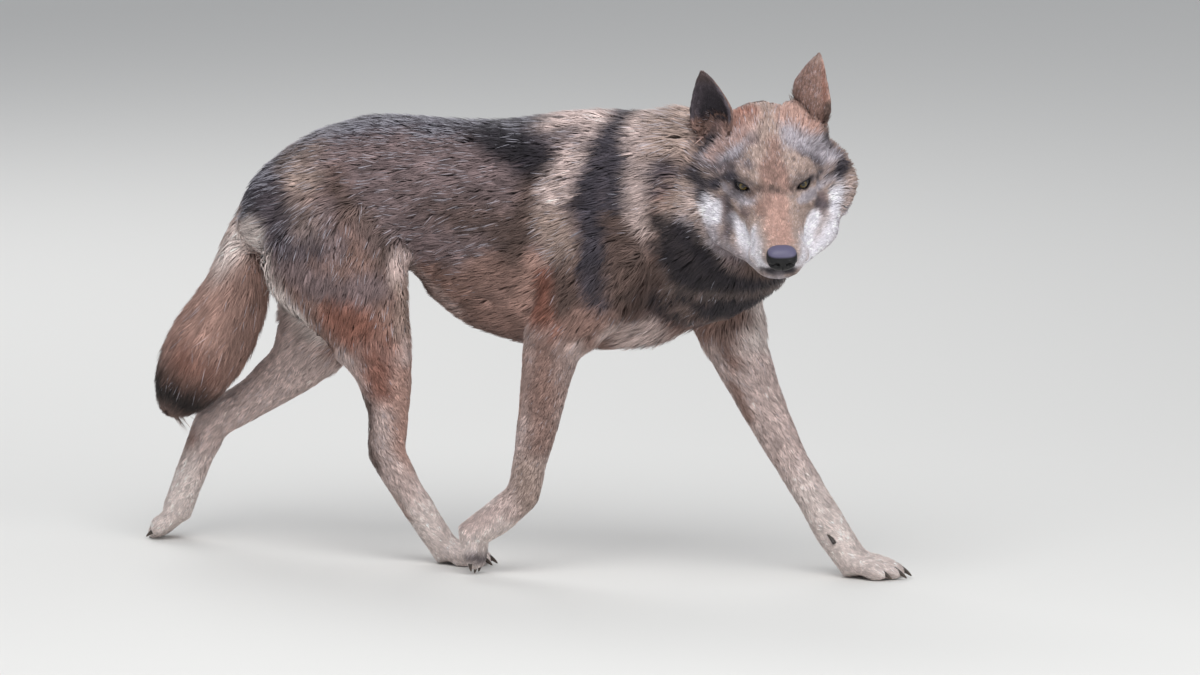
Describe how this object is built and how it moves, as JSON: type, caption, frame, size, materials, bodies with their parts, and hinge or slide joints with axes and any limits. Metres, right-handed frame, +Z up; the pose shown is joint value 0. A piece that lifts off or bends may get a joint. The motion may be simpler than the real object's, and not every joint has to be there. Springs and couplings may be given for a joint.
{
  "type": "grey wolf still model",
  "caption": "Life-size still model of a grey wolf at a slow trot with its head turned to its right, for a display floor or a scene.",
  "frame": {"origin": "on the floor under the middle of the bounding box", "axes": "+X the way the body heads, +Y the animal's left, +Z up"},
  "size_m": [1.2674, 0.3634, 0.8375],
  "materials": {
    "body_coat": "dense guard hair, matte, grey-brown with a dark saddle",
    "face_coat": "short hair, matte, warm brown with white cheeks",
    "leg_coat": "short close hair, matte, pinkish tan to whitish",
    "ear_coat": "very short hair, matte, reddish brown",
    "nose": "moist, finely pebbled, black",
    "eye": "clear and wet over an amber iris",
    "claw": "dull dark horn"
  },
  "bodies": {
    "root": {"fore_right_shoulder": "body_coat", "fore_right_foreleg": "leg_coat", "fore_right_paw": "leg_coat", "fore_right_claw_outer": "claw", "fore_right_claw_mid_outer": "claw", "fore_right_claw_mid_inner": "claw", "fore_right_claw_inner": "claw", "fore_right_dewclaw": "claw", "fore_left_shoulder": "body_coat", "fore_left_foreleg": "leg_coat", "fore_left_paw": "leg_coat", "fore_left_claw_outer": "claw", "fore_left_claw_mid_outer": "claw", "fore_left_claw_mid_inner": "claw", "fore_left_claw_inner": "claw", "fore_left_dewclaw": "claw", "hind_right_thigh": "body_coat", "hind_right_lower_leg": "leg_coat", "hind_right_paw": "leg_coat", "hind_right_claw_outer": "claw", "hind_right_claw_mid_outer": "claw", "hind_right_claw_mid_inner": "claw", "hind_right_claw_inner": "claw", "hind_left_thigh": "body_coat", "hind_left_lower_leg": "leg_coat", "hind_left_paw": "leg_coat", "hind_left_claw_outer": "claw", "hind_left_claw_mid_outer": "claw", "hind_left_claw_mid_inner": "claw", "hind_left_claw_inner": "claw", "tail": "body_coat", "trunk": "body_coat", "neck": "body_coat", "head": "face_coat", "lower_jaw": "face_coat", "nose": "nose", "eye_left": "eye", "eye_right": "eye", "ear_left": "ear_coat", "ear_right": "ear_coat"}
  },
  "joints": []
}
